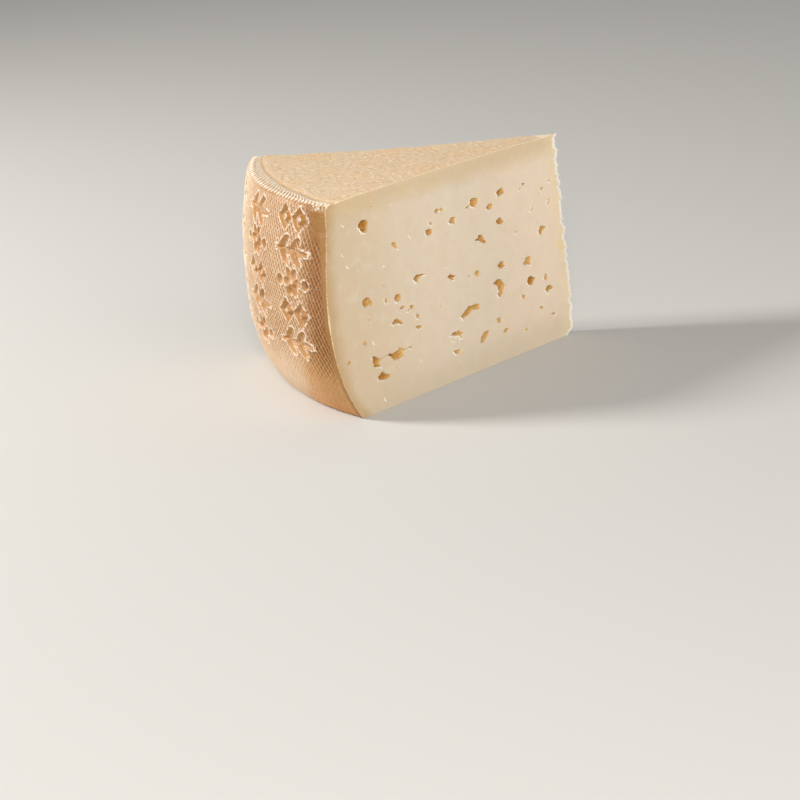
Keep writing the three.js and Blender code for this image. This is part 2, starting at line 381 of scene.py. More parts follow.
# ---- Eyes of the front cut ----
# Each is its depth, then the corners of its outline: distance from the tip, height.
FRONT_EYES = [
    (4.4, (158.9, 103.8), (157.5, 105.7), (155.5, 106.6), (152, 106.3), (151.1, 104.2), (152.8, 100.2),
     (154.3, 99.3), (156.2, 99.9)),
    (1.4, (136.8, 88.6), (136, 89.5), (134.3, 89.4), (133.2, 87.6), (132, 84.9), (135.1, 86.3)),
    (2.6, (102.6, 98.2), (101.5, 99.5), (99.2, 99.7), (98.6, 98.5), (100.3, 97.5), (101.8, 97.2)),
    (1.2, (98.6, 99.1), (96.5, 99.3), (95.1, 97.4), (95.7, 96.6), (96.8, 97.8), (97.6, 95.5),
     (98.2, 97.4)),
    (1.0, (107.8, 92.8), (107.2, 93.7), (104.9, 93.4), (104.8, 92.4), (106.1, 91.5)),
    (2.9, (111.1, 88.5), (110.5, 90.1), (108.4, 90.1), (105.7, 89.3), (105.5, 87.4), (107.2, 86.6),
     (110.3, 87)),
    (2.4, (92.8, 90.3), (92, 91.4), (89.9, 92.2), (87.6, 92), (87.4, 90.3), (88.2, 89.3), (87.6, 88),
     (89.2, 88.8), (91.6, 88.9)),
    (3.0, (124.4, 65.5), (123.2, 66.6), (120.7, 67.4), (118, 67.2), (114.2, 65.7), (118.4, 66),
     (120.9, 64.8), (120.7, 62.9), (122.6, 63.7)),
    (3.0, (162.8, 62.6), (162.2, 64.2), (159.7, 65.1), (157.4, 64.5), (156.5, 63), (157.2, 60.6),
     (158.9, 60.3), (161.6, 60.2)),
    (1.4, (157.2, 63.4), (155.1, 61.1), (155.5, 59.5), (157.3, 60)),
    (1.8, (147, 59.2), (146.8, 60.5), (145.5, 60.5), (144.3, 61.1), (144.8, 59.5), (144.5, 57.8),
     (146.2, 58)),
    (2.7, (139.7, 58.8), (138.9, 60.5), (137.2, 61.1), (134.9, 60.2), (134.5, 58), (135.8, 56.5),
     (138.4, 56.6)),
    (2.8, (98.4, 60.1), (97.2, 60.8), (96.1, 61.6), (94.9, 60.3), (91.2, 59.3), (94.2, 58.2),
     (93.5, 56.8), (95.9, 57.9)),
    (1.6, (136.7, 52.4), (135.2, 53.4), (133.6, 53), (132.1, 51.9), (135, 51.8)),
    (2.0, (129.4, 50.8), (128.4, 51.9), (126.1, 51.4), (125.8, 50.2), (128.2, 49.7)),
    (1.2, (131.8, 49.6), (130.4, 50.2), (129.3, 49.6), (130.6, 49.1)),
    (2.4, (143.9, 45.5), (142.1, 46.8), (140, 48.1), (138.6, 46.8), (136.4, 45), (134.6, 43.4),
     (137, 43.4), (140, 45.1), (142.1, 44.8)),
    (2.6, (125.7, 45), (124.6, 46.1), (123, 45.3), (122.9, 43.9), (124.3, 43.2), (125.5, 43.5)),
    (1.8, (126.8, 39.4), (122.5, 39.1), (121.6, 37.5), (125.7, 37.4)),
    (1.6, (165.7, 41.1), (164.3, 41.8), (162.7, 42.1), (163.2, 40.7), (162.9, 39.6), (165.4, 39.8)),
    (1.5, (178.8, 33.5), (177, 34.4), (175.3, 33), (177.2, 32.2)),
    (2.8, (160.9, 31.1), (159.6, 31.9), (158, 31.1), (156.3, 29.4), (154.3, 28.9), (156.1, 26.4),
     (154.8, 24.5), (157.5, 25), (160.7, 25.9), (159.9, 27.5), (160.4, 29.6)),
    (0.7, (154.6, 29.2), (149, 29.9), (149, 29.4), (154.4, 28.7)),
    (2.4, (149.5, 29.6), (148.2, 30.2), (146.1, 29.1), (144.3, 29.4), (141.4, 30), (140.9, 31.2),
     (140, 30.4), (137.9, 29.6), (138.2, 26.8), (137.5, 25.7), (140, 25), (143.6, 25.4), (145.4, 24.6),
     (147.1, 28.2)),
    (1.2, (141.4, 30.6), (140.6, 31.3), (138, 29.9), (135.8, 28.8), (133, 29.6), (132.8, 29), (136, 28.1),
     (138.4, 28.6)),
    (1.4, (133, 29.6), (131.4, 29.6), (131.2, 28.6), (132.6, 28.3)),
    (3.0, (158.7, 17.9), (157.9, 20), (154.6, 21.9), (152.9, 20), (148.7, 17.9), (150, 16.9),
     (154.3, 16.8)),
    (2.0, (101.7, 26.7), (99.6, 27.8), (96.3, 27.7), (94.6, 28.3), (93.8, 27.1), (91.3, 25.4),
     (92.9, 24.6), (92.7, 22.5), (94.2, 23.3), (95.4, 25.4), (98.3, 25.8)),
    (1.1, (100.2, 23.1), (99, 23.6), (98.2, 23.1), (99.2, 22.5)),
    (1.7, (100.7, 17.1), (97.9, 17.1), (94.3, 17.3), (96.3, 14.6), (97.9, 15.2), (100, 15)),
    (2.2, (75.5, 96.2), (74.9, 98), (73.4, 98.8), (70.7, 98.9), (68.4, 98), (68.2, 96.2), (69.2, 94.3),
     (71.5, 93.4), (73.8, 94.2)),
    (1.7, (78.8, 94.7), (77.2, 95.7), (75.3, 96), (75, 94.7), (77.2, 94.5)),
    (2.5, (63.2, 90.8), (61.8, 92.2), (59.5, 92.8), (57.4, 92.4), (57.2, 90.8), (58.8, 89.5),
     (61.1, 89.3)),
    (3.0, (53.8, 97.3), (52.8, 98.6), (50.6, 99.2), (48.8, 99.4), (47.8, 97.9), (46.9, 96.2), (50, 95.6),
     (52.4, 94.6)),
    (3.1, (56.4, 81.7), (55.3, 82.3), (52.5, 83.3), (51.6, 82), (51.3, 81.1), (49.9, 80.1), (51.3, 79),
     (53.4, 79), (55.3, 79.8)),
    (3.2, (74.5, 75.1), (72.2, 75.5), (71.5, 77), (68.4, 77.2), (67.6, 75.1), (67.2, 73.5), (65.5, 72.2),
     (66.5, 71.1), (68.4, 71.8), (71.5, 74.5), (73.8, 74.3)),
    (2.0, (33.1, 97.9), (31.9, 98.4), (30.1, 97.6), (31.3, 96.7), (32.6, 96.9)),
    (1.1, (36.4, 95.1), (35, 95.9), (33.4, 95.8), (34.7, 94.6)),
    (1.6, (18.3, 91.4), (17.5, 92.3), (15.5, 92), (16.3, 90.8), (18, 90.6)),
    (1.4, (20.3, 89.8), (19.5, 90.6), (18.7, 89.8), (19.6, 89)),
    (1.2, (10.9, 94.2), (9.7, 94.9), (8.3, 94.2), (9.7, 93.4)),
    (0.9, (29.1, 81.1), (27.2, 81.7), (26.6, 83.6), (25.3, 83.3), (24.9, 82), (25.6, 80.8)),
    (1.3, (13.8, 81.7), (12.8, 83.9), (11.6, 84.8), (10.6, 83.9), (12.2, 80.4), (13.4, 80.4)),
    (2.5, (23.1, 66.7), (22.5, 68.9), (20.9, 70.1), (19.1, 69.8), (16.3, 68.6), (19.4, 67), (20.6, 65.1),
     (22.5, 64.8)),
    (0.9, (23.4, 60.8), (22.8, 61.3), (22.2, 60.7), (22.8, 60.2)),
    (0.7, (42.6, 71.8), (41.6, 73.2), (41, 72.2), (38.2, 72.8), (40.7, 71), (42, 70.2)),
    (1.0, (83.4, 56.4), (82, 57.1), (80.4, 56.6), (81.8, 56)),
    (2.2, (77.5, 56.3), (76, 58.2), (73.5, 57.1), (73.8, 55.4), (74.6, 53.8), (76.3, 54.8)),
    (2.7, (59.3, 56.3), (57.9, 57.1), (56.3, 58.3), (55.4, 57.7), (53.5, 57.7), (53.8, 55.8),
     (52.3, 54.2), (55.4, 54.2), (57.5, 54.3)),
    (0.6, (42.4, 57.4), (41.4, 58.1), (40.5, 57.5), (41.4, 56.8)),
    (1.8, (38.3, 52.1), (35.8, 54.4), (34.6, 55), (32.7, 55.1), (31.4, 54.6), (31.1, 52.6), (31.9, 51.7),
     (31.6, 49.5), (34.6, 50.6), (37.7, 51.4)),
    (3.8, (36.9, 40.4), (36.1, 42.6), (34.6, 43.4), (32.7, 43.4), (29.3, 40.8), (32.1, 38.1),
     (34.3, 37.9), (36.1, 38.9)),
    (2.2, (22.9, 39.2), (22.1, 40.1), (21.9, 41.5), (20.2, 41.7), (19.6, 40.1), (19.8, 37.5),
     (21.1, 37.3), (22.5, 37.9)),
    (2.9, (22.3, 32), (21.1, 33.6), (18.6, 34), (16.8, 33.6), (16.3, 32.3), (15.2, 31.1), (19.3, 30.8),
     (20.2, 29.2), (21.4, 29.8)),
    (1.8, (42.6, 33.4), (42.1, 34.4), (40.2, 34.2), (38.9, 33.1), (38.9, 31.7), (39.9, 30.9), (41.1, 32)),
    (2.6, (64, 46.7), (62.1, 48.2), (59.6, 48.8), (57.1, 47.5), (55.7, 45.4), (54.6, 43.3), (55.7, 41.3),
     (56.7, 39.6), (59, 37.1), (60.8, 38.2), (61.3, 40), (59.6, 41), (60.8, 42.5), (60.4, 44.2),
     (61.7, 45.7)),
    (2.2, (92.1, 35), (90, 36.3), (87.1, 38.2), (85, 39.8), (83.3, 39), (80, 39.2), (77.1, 38.8),
     (76, 37.9), (76.3, 35.4), (79.2, 35.8), (81.7, 36.3), (84.2, 35), (87.5, 34), (90.4, 33.3)),
    (2.5, (64.2, 26.3), (62.7, 25.7), (60.4, 26.7), (61, 24.8), (60.4, 23.3), (62.3, 23.2), (64, 23.3),
     (63.3, 24.6)),
    (2.3, (79.2, 15.8), (78.3, 18.8), (75.8, 20.7), (73.3, 21.5), (71, 21.5), (71.3, 19.6), (73.8, 17.3),
     (76.7, 15.4)),
    (1.6, (60.4, 17.3), (57.5, 18.6), (55, 18.3), (55.4, 16.7), (57.5, 15.4)),
    (1.8, (28.5, 23.3), (27.1, 23.6), (24.8, 22.3), (25.8, 21.6), (28, 22.1)),
    (1.7, (19.4, 16.1), (17.7, 17.1), (16.4, 16.7), (15.5, 15.1), (17.4, 15.3)),
    (1.5, (42.7, 12.9), (41.1, 14.2), (40.2, 15.1), (39.6, 12), (41.4, 12)),
]
# Nicks and scars of the knife: distance from the tip, height, length, lean in degrees.
FRONT_NICKS = [
    (147.5, 112.3, 3.8, -5), (136.0, 111.7, 1.8, 45), (132.8, 110.2, 2.2, -15), (168.8, 107.4, 1.6, 40),
    (171.8, 91.8, 1.2, 60), (169.5, 84.7, 1.6, 50), (122.2, 89.2, 4.2, 33), (161.6, 80.9, 1.6, 40),
    (143.8, 78.6, 1.3, 20), (146.2, 68.2, 4.6, 28), (112.0, 68.4, 1.4, 10), (94.4, 70.8, 1.4, 45),
    (98.0, 66.5, 3.2, 38), (105.7, 45.2, 3.5, -8), (101.0, 45.8, 1.6, -20), (159.3, 52.5, 2.6, 10),
    (157.6, 50.0, 3.6, 70), (157.9, 39.3, 2.0, 80), (174.0, 33.2, 1.0, 60), (144.3, 21.1, 2.6, -5),
    (125.4, 19.5, 1.4, 0), (155.0, 6.0, 1.8, 70), (148.0, 8.5, 1.4, -30), (71.0, 1.6, 1.6, 0),
    (54.0, 1.6, 1.6, 0),
]
NICK_DEPTH, NICK_WIDTH = 0.5, 0.75

# ---- Eyes of the back cut, at the CAD part's places ----
BACK_EYE_COUNT = 24
BACK_EYE_REACH, BACK_EYE_HEIGHTS = (16, 160), (14, 106)
BACK_EYE_WIDTHS, BACK_EYE_LOWEST = (4, 9), 0.6
BACK_SMALL_EYES = 34


def nick(from_tip, height, length, lean):
    """The depth and corners of a narrow lozenge."""
    direction = np.array([math.cos(math.radians(lean)), math.sin(math.radians(lean))])
    along = direction * length / 2
    across = np.array([-direction[1], direction[0]]) * NICK_WIDTH / 2
    middle = np.array([from_tip, height])
    return (NICK_DEPTH, *(middle + step for step in (along, across, -along, -across)))


def scatter(i):
    """Even but unordered places in the unit square, by the R2 sequence."""
    return (0.37 + i * 0.7548776662) % 1, (0.61 + i * 0.5698402909) % 1


def irregular_eye(random, from_tip, height, width, tallness, lean):
    """A ragged outline inside that oval, with one or two deep bays."""
    count = int(random.integers(6, 11))
    turn = math.radians(lean)
    corners = []
    for i in range(count):
        angle = 2 * math.pi * (i + random.uniform(-0.25, 0.25)) / count
        reach = random.uniform(0.78, 1.05) if random.random() < 0.8 else random.uniform(0.45, 0.6)
        x, y = reach * width / 2 * math.cos(angle), reach * tallness / 2 * math.sin(angle)
        place = (x * math.cos(turn) - y * math.sin(turn), x * math.sin(turn) + y * math.cos(turn))
        corners.append((from_tip + place[0], height + place[1]))
    return (random.uniform(0.35, 0.62) * math.sqrt(width * tallness), *corners)


def back_eyes():
    random = np.random.default_rng(EYE_SEED)
    eyes = []
    for i in range(BACK_EYE_COUNT):
        u, v = scatter(i)
        size_share, shape_share = scatter(3 * i + 1)
        width = lerp(*BACK_EYE_WIDTHS, size_share)
        tallness = width * lerp(BACK_EYE_LOWEST, 1, shape_share)
        from_tip, height = lerp(*BACK_EYE_REACH, u), lerp(*BACK_EYE_HEIGHTS, v)
        eyes.append(irregular_eye(random, from_tip, height, width, tallness, 60 * (shape_share - 0.5)))
    for _ in range(BACK_SMALL_EYES):
        from_tip, height = random.uniform(10, 168), random.uniform(8, 110)
        width, lean = random.uniform(1.2, 3.4), random.uniform(-60, 60)
        tallness = width * random.uniform(0.4, 0.9)
        eyes.append(irregular_eye(random, from_tip, height, width, tallness, lean))
    return eyes


def outline_gap(corners, s, z):
    """How far places are outside a closed outline; negative inside."""
    a = np.array(corners, float)
    b = np.roll(a, -1, 0)
    along, up = (b - a).T
    ds, dz = s[:, None] - a[:, 0], z[:, None] - a[:, 1]
    share = np.clip((ds * along + dz * up) / (along**2 + up**2), 0, 1)
    off = np.hypot(ds - share * along, dz - share * up).min(1)
    crosses = (a[:, 1] > z[:, None]) != (b[:, 1] > z[:, None])
    before = ds < along * dz / np.where(up == 0, 1, up)
    inside = (crosses & before).sum(1) % 2 == 1
    return np.where(inside, -off, off)


def eye_field(eyes, s, z, side):
    """For places on a cut: how far outside the nearest eye they are, and how deep the eyes are there."""
    gap, depth = np.full(s.shape, 50.0), np.zeros(s.shape)
    ragged_s, ragged_z = (
        place + 0.24 * noise(s / 1.4, z / 1.4, first) + 0.16 * noise(s / 0.7, z / 0.7, first + 2)
        for place, first in ((s, 20 + side), (z, 26 + side))
    )
    for deepest, *corners in eyes:
        (s0, z0), (s1, z1) = np.min(corners, 0), np.max(corners, 0)
        near = np.flatnonzero((s > s0 - 6) & (s < s1 + 6) & (z > z0 - 6) & (z < z1 + 6))
        if not len(near):
            continue
        here = outline_gap(corners, ragged_s[near], ragged_z[near]) - 0.12
        wall = np.clip(0.4 * min(s1 - s0, z1 - z0), 0.35, 1.3)
        share = np.clip(-here / wall, 0, 1)
        tilt = 1 + 0.35 * np.clip((s[near] - (s0 + s1) / 2) / (s1 - s0), -0.5, 0.5) * 2
        gap[near] = np.minimum(gap[near], here)
        depth[near] = np.maximum(depth[near], deepest * tilt * (1 - (1 - share) ** 2))
    depth = depth * (1 + 0.14 * noise(s / 1.5, z / 1.5, 24))
    return gap, depth


def slope_of_gap(eyes, s, z, side, gap):
    """Which way the gap to the nearest eye grows."""
    h = 0.04
    further, _ = eye_field(eyes, s + h, z, side)
    higher, _ = eye_field(eyes, s, z + h, side)
    return np.stack([further - gap, higher - gap], 1) / h


LIT_WAY, SHADED_WAY = (0.85, -0.5), (0.75, 0.66)  # sides of the eyes with a raised lip under a painted highlight, and with painted shade

# ---- The mesh, gathered from its surfaces ----
RIND, TOP, PASTE = 0, 1, 2  # places in the mesh's list of materials
SHARP_ANGLE = math.radians(50)
UV_SPAN = 384.0  # millimetres across the bake map
UV_RIND, UV_TIP = (82, 124), (380, 124)
UV_CUT = {FRONT: (2, 2), BACK: (380, 2)}
UV_TOP, UV_BOTTOM = (334, 202), (166, 292)
MIDDLE = np.array([-80.0, 0.0, 60.0])  # a place well inside, which every surface faces away from
FAR_FROM_EYES, FAR_FROM_RIND = 9.0, 90.0
CUTS_APART, BOTTOM_APART = 40.0, 90.0  # so that no two surfaces have the same pattern


GROUP = 4000  # points worked out at a time


class Mesh:
    """Vertices are shared by the surfaces; each surface's corners have their own shader values."""

    def __init__(self):
        self.points, self.faces, self.kinds, self.uvs = [], [], [], []
        self.places, self.reliefs, self.details = [], [], []
        self.count = 0

    def at(self, ids):
        return np.concatenate(self.points)[ids]

    def add_points(self, points):
        first = self.count
        self.points.append(np.asarray(points, float).reshape(-1, 3))
        self.count += len(self.points[-1])
        return np.arange(first, self.count)

    def add_surface(self, ids, faces, kind, place, relief, detail, uv):
        """ids are the surface's vertices; the rest goes by their order in ids."""
        corners = self.at(ids[faces])
        normals = np.cross(corners[:, 1] - corners[:, 0], corners[:, 2] - corners[:, 0])
        if (normals * (corners.mean(1) - MIDDLE)).sum() < 0:
            faces = faces[:, ::-1]
        self.faces.append(ids[faces])
        self.kinds.append(np.full(len(faces), kind))
        self.places.append(place[faces].reshape(-1, 3))
        self.reliefs.append(relief[faces].reshape(-1, 3))
        self.details.append(detail[faces].reshape(-1, 3))
        self.uvs.append(uv[faces].reshape(-1, 2))

    def build(self, name, materials, shift):
        mesh = bpy.data.meshes.new(name)
        points = (np.concatenate(self.points) + shift) * MM
        faces = np.concatenate(self.faces)
        mesh.from_pydata(points, [], faces)
        mesh.polygons.foreach_set("material_index", np.concatenate(self.kinds).astype(np.int32))
        for label, rows in (("place", self.places), ("relief", self.reliefs), ("detail", self.details)):
            attribute = mesh.attributes.new(label, "FLOAT_VECTOR", "CORNER")
            attribute.data.foreach_set("vector", np.concatenate(rows).astype(np.float32).ravel())
        layer = mesh.uv_layers.new(name="OFBake")
        layer.data.foreach_set("uv", (np.concatenate(self.uvs) / UV_SPAN).astype(np.float32).ravel())
        for material in materials:
            mesh.materials.append(material)
        mesh.validate()
        mesh.shade_smooth()
        mesh.set_sharp_from_angle(angle=SHARP_ANGLE)
        piece = bpy.data.objects.new(name, mesh)
        bpy.context.scene.collection.objects.link(piece)
        return piece


def triangulate(outline, inner):
    """Triangles that fill the closed outline through all inner points, as rows of point numbers."""
    points = np.concatenate([outline, inner])
    rim = [(i, (i + 1) % len(outline)) for i in range(len(outline))]
    result = delaunay_2d_cdt([Vector(p) for p in points], rim, [], 1, 1e-6, True)
    made, _, faces, origins = result[:4]
    if len(made) != len(points):
        raise RuntimeError(f"triangulation made {len(made)} points from {len(points)}")
    faces = np.array([o[0] for o in origins])[np.array(faces)]
    return faces[~outside_pockets(outline, faces)]


def outside_pockets(outline, faces):
    """The triangles that fill hollows outside the outline: their corners go round against its order."""
    x, y = outline.T
    turns_left = (x * np.roll(y, -1) - y * np.roll(x, -1)).sum() > 0
    a, b, c = faces.T
    in_order = ((a < b) & (b < c)) | ((b < c) & (c < a)) | ((c < a) & (a < b))
    return (faces.max(1) < len(outline)) & (in_order != turns_left)


def inside_with_margin(outline, points, margin):
    """The points at least margin inside the closed outline."""
    groups = np.array_split(points, len(points) // GROUP + 1)
    gap = np.concatenate([outline_gap(outline, *group.T) for group in groups])
    return points[gap < -margin]


def hex_grid(low, high, step, random):
    """A jittered triangular grid that covers a box."""
    rows = np.arange(low[1], high[1], step * math.sqrt(0.75))
    columns = np.arange(low[0], high[0], step)
    x, y = np.meshgrid(columns, rows)
    x = x + np.where(np.arange(len(rows)) % 2, step / 2, 0)[:, None]
    points = np.stack([x.ravel(), y.ravel()], 1)
    return points + random.uniform(-0.12, 0.12, points.shape) * step


# ---- Surfaces ----
def rind_surface(mesh):
    """The rind's side, from the foot to the groove. Returns the vertex numbers as rows and columns."""
    outline = rind_outline()
    radius, height = outline[:, 0], outline[:, 1]
    tangent = np.gradient(outline, axis=0)
    tangent /= np.linalg.norm(tangent, axis=1)[:, None]
    out_radius, out_height = tangent[:, 1:], -tangent[:, :1]
    run = run_along(outline)
    to_groove = run[-1] - run
    past_crest = smoothstep(LIP_CENTRE_RADIUS + 0.5, GROOVE_RADIUS, radius)
    past_crest = past_crest * (height > LIP_CENTRE_HEIGHT)
    front_shift = np.interp(height, FRONT_EDGE_HEIGHTS, FRONT_EDGE_SHIFTS) * smoothstep(1, 8, run)
    ends = []
    for side, shift, bend in ((FRONT, GROOVE_SHIFTS[0], front_shift), (BACK, GROOVE_SHIFTS[-1], 0)):
        reach = reach_to_radius(side, height, radius + shift * past_crest + bend)
        x, y, _ = on_cut(side, reach, height).T
        ends.append(np.arctan2(y, -x))
    columns = round((ends[1] - ends[0]).max() * BULGE_RADIUS / ARC_STEP)
    angle = lerp(ends[0][:, None], ends[1][:, None], np.linspace(0, 1, columns + 1))
    arc = BULGE_RADIUS * angle
    level = np.broadcast_to(height[:, None], arc.shape)
    front_gap = (angle - ends[0][:, None]) * radius[:, None]
    back_gap = (ends[1][:, None] - angle) * radius[:, None]
    widened = radius[:, None] + groove_shift(angle) * past_crest[:, None]
    widened = widened + front_shift[:, None] * smoothstep(FRONT_EDGE_REACH, 0, front_gap)
    depth, looks, threads = rind_relief(arc, level, to_groove[:, None], front_gap, back_gap)
    depth = depth * smoothstep(0, 4, run)[:, None] * smoothstep(0, 1.5, to_groove)[:, None]
    r = widened - depth * out_radius
    rise = (smoothstep(0.2, 1.6, to_groove) * smoothstep(13, 7, to_groove))[:, None]
    rise = rise * lerp(0.1, BEAD_RISE, smoothstep(-66, -48, arc) * smoothstep(66, 45, arc))
    z = height[:, None] - depth * out_height + rise
    points = np.stack([-r * np.cos(angle), r * np.sin(angle), z], -1)
    ids = mesh.add_points(points).reshape(arc.shape)
    numbers = np.arange(arc.size).reshape(arc.shape)
    a, b, c, d = numbers[:-1, :-1], numbers[1:, :-1], numbers[1:, 1:], numbers[:-1, 1:]
    faces = np.concatenate([np.stack(t, -1).reshape(-1, 3) for t in ((a, b, c), (a, c, d))])
    along_up = np.broadcast_to(run[:, None], arc.shape)
    place = np.stack([arc, level, along_up], -1).reshape(-1, 3)
    uv = (np.stack([arc, along_up], -1) + UV_RIND).reshape(-1, 2)
    mesh.add_surface(ids.ravel(), faces, RIND, place, looks.reshape(-1, 3), threads.reshape(-1, 3), uv)
    return ids


def tip_edges(mesh):
    """The ragged blunt tip: its front and back edges and its middle, from the foot up."""
    levels = np.linspace(0, HEIGHT, round(HEIGHT / TIP_STEP) + 1)
    chip = 0.9 * np.clip(TIP_CHIP - levels, 0, None) ** 1.05
    ragged = 1.2 + 0.9 * noise(levels / 4.2, 0.0, 30) + 1.0 * noise(levels / 1.7, 0.0, 31)
    edges, places = {}, []
    for k, side in enumerate((FRONT, BACK)):
        teeth = ragged + 0.5 * noise(levels / 0.9, 3.0 * k, 33)
        worn = np.clip(teeth, 0, None) * smoothstep(HEIGHT, HEIGHT - 2, levels) + chip
        tops = on_cut(side, worn, levels)
        tops[-1, 2] = top_height(tops[-1, 0], tops[-1, 1])
        tops[:, 2] = np.minimum(tops[:, 2], tops[-1, 2] - 0.4 * (levels[-1] - levels))
        places.append(tops)
        edges[side] = (mesh.add_points(tops), np.stack([worn, tops[:, 2]], 1))
    middle = (places[0] + places[1]) / 2
    middle[:, 0] += 0.35 + 0.3 * noise(levels / 1.9, 7.0, 32)
    edges["middle"] = (mesh.add_points(middle), middle)
    return edges


def tip_surface(mesh, tips):
    front, back, middle = tips[FRONT][0], tips[BACK][0], tips["middle"][0]
    ids = np.concatenate([front, middle, back])
    n = len(front)
    faces = []
    for left in (0, n):
        a = np.arange(left, left + n - 1)
        b, c, d = a + n, a + n + 1, a + 1
        faces += [np.stack([a, b, c], 1), np.stack([a, c, d], 1)]
    height = np.tile(tips["middle"][1][:, 2], 3)
    across = np.repeat([0.0, 1.0, 2.0], n)
    place = np.stack([across, height, np.zeros(3 * n)], 1)
    relief = np.tile([0.0, FAR_FROM_EYES, FAR_FROM_RIND], (3 * n, 1))
    uv = np.stack([across, height], 1) + UV_TIP
    from_edge = np.where(across == 1, TIP_MIDDLE, 0.0)
    detail = np.stack([np.zeros(3 * n), from_edge, np.zeros(3 * n)], 1)
    mesh.add_surface(ids, np.concatenate(faces), PASTE, place, relief, detail, uv)


def edge_between(mesh, side, first, last, height_of):
    """New vertices along a cut's top or bottom edge, between two distances from the tip."""
    count = round(abs(last - first) / EDGE_STEP)
    from_tip = np.linspace(first, last, count + 1)[1:-1]
    level = np.full(from_tip.shape, height_of(np.zeros(1), np.zeros(1))[0])
    for _ in range(3):
        place = on_cut(side, from_tip, level)
        level = height_of(place[:, 0], place[:, 1])
    return mesh.add_points(on_cut(side, from_tip, level)), np.stack([from_tip, level], 1)


def cut_surface(mesh, side, rind, top, tip, bottom):
    """One cut face with its eyes. Its four edges are vertices and their places on the cut."""
    random = np.random.default_rng(CUT_SEED + side)
    ids, outline = (np.concatenate([rind[k], top[k], tip[k][::-1], bottom[k][::-1]]) for k in (0, 1))
    eyes = FRONT_EYES + [nick(*row) for row in FRONT_NICKS] if side == FRONT else back_eyes()
    low, high = outline.min(0), outline.max(0)
    fine_step = EYE_STEP[side]
    layers = []
    for step, nearest, farthest in (
        (fine_step, -0.9, 0.7),
        (EYE_FLOOR_STEP, -99, -1.1),
        (NEAR_EYE_STEP, 1.0, 2.8),
        (OPEN_STEP, 3.2, 99),
    ):
        points = hex_grid(low, high, step, random)
        gap, _ = eye_field(eyes, points[:, 0], points[:, 1], side)
        near_tip = points[:, 0] < CRUMBLED
        if step == NEAR_EYE_STEP:
            farthest = np.where(near_tip, 99, farthest)
        if step == OPEN_STEP:
            nearest = np.where(near_tip, 99, nearest)
        layers.append(points[(gap > nearest) & (gap < farthest)])
    fine = layers[0]
    for _ in range(2):
        gap, _ = eye_field(eyes, fine[:, 0], fine[:, 1], side)
        close = np.abs(gap) < 0.45 * fine_step
        p = fine[close]
        slope = slope_of_gap(eyes, p[:, 0], p[:, 1], side, gap[close])
        fine[close] -= slope * (gap[close] / np.maximum((slope**2).sum(1), 0.3))[:, None]
    inner = inside_with_margin(outline, np.concatenate(layers), 0.3)
    flat = np.concatenate([outline, inner])
    faces = triangulate(outline, inner)

    s, z = inner.T
    gap, depth = eye_field(eyes, s, z, side)
    slope = slope_of_gap(eyes, s, z, side, gap)
    lit_side = np.clip(slope @ LIT_WAY, 0, 1) * smoothstep(-0.5, 0.3, noise(s / 4, z / 4, 40))
    # the lip on the lit side is raised, and the paste's shader paints a highlight on it
    lip_and_highlight = lit_side * smoothstep(0.8, 0.15, gap) * (gap > -0.05)
    shade = np.clip(slope @ SHADED_WAY, 0, 1) * smoothstep(-2.6, -0.2, gap) * (gap < 0.05)
    from_rim = np.minimum.reduce([s, z, HEIGHT - 1 - z])
    fade = smoothstep(0, 4, from_rim)
    waves = 0.3 * noise(s / 34, z / 30, 34 + side) + 0.09 * noise(s / 7, z / 9, 36 + side)
    crumbs = 0.35 * noise(s / 1.8, z / 1.8, 38 + side) * smoothstep(5, 0.5, s)
    inward = cut_depth_axis(side)
    points = on_cut(side, s, z) + inward * (depth + waves * fade + crumbs - 0.3 * lip_and_highlight)[:, None]
    inner_ids = mesh.add_points(points)

    rim = np.zeros(len(outline))
    place = np.column_stack([flat, np.full(len(flat), CUTS_APART * side)])
    relief = [np.r_[rim, depth], np.r_[rim + FAR_FROM_EYES, gap], distance_to_rind(side, flat)]
    tip_gap = flat[:, 0] - np.interp(flat[:, 1], tip[1][:, 1], tip[1][:, 0])
    detail = [np.r_[rim, lip_and_highlight], tip_gap, np.r_[rim, shade]]
    uv = flat * (-side, 1) + UV_CUT[side]
    ids = np.concatenate([ids, inner_ids])
    mesh.add_surface(ids, faces, PASTE, place, np.stack(relief, 1), np.stack(detail, 1), uv)


def distance_to_rind(side, flat):
    """How far inside the rind's side each place of a cut is."""
    s, z = flat.T
    return (reach_to_radius(side, z, side_radius(z)) - s) * 0.95


def flat_surface(mesh, outline_ids, height_of, step, seed, upward):
    """The top or the bottom, through the vertices that its edge shares with the other surfaces."""
    random = np.random.default_rng(seed)
    outline = mesh.at(outline_ids)[:, :2]
    inner = hex_grid(outline.min(0), outline.max(0), step, random)
    inner = inside_with_margin(outline, inner, 0.45 * step)
    faces = triangulate(outline, inner)
    inner_ids = mesh.add_points(np.column_stack([inner, height_of(*inner.T)]))
    flat = np.concatenate([outline, inner])
    x, y = flat.T
    place = np.stack([x, y, np.full(len(x), 0.0 if upward else BOTTOM_APART)], 1)
    front_start, front_along = cut_line(FRONT, HEIGHT if upward else 0.0)
    normal = np.array([-front_along[1], front_along[0]])
    from_front = np.abs((flat - front_start) @ normal)
    from_tip = TIP_X + (0 if upward else TIP_LEAN[0]) - x
    from_groove = GROOVE_RADIUS + groove_shift(np.arctan2(y, -x)) - np.hypot(x, y)
    if not upward:
        from_groove = np.full(len(x), FAR_FROM_RIND)
    relief = np.stack([from_front, from_tip, from_groove], 1)
    uv = flat + UV_TOP if upward else UV_BOTTOM - flat
    ids = np.concatenate([outline_ids, inner_ids])
    mesh.add_surface(ids, faces, TOP, place, relief, np.zeros((len(x), 3)), uv)


def bottom_height(x, y):
    """The bottom rests on its rim and is a little hollow inside it."""
    inside = smoothstep(0, 25, side_radius(0.0) - np.hypot(x, y)) * smoothstep(0, 20, TIP_X - x)
    return 0.25 * inside * (0.5 + 0.5 * noise(x / 20, y / 20, 44))


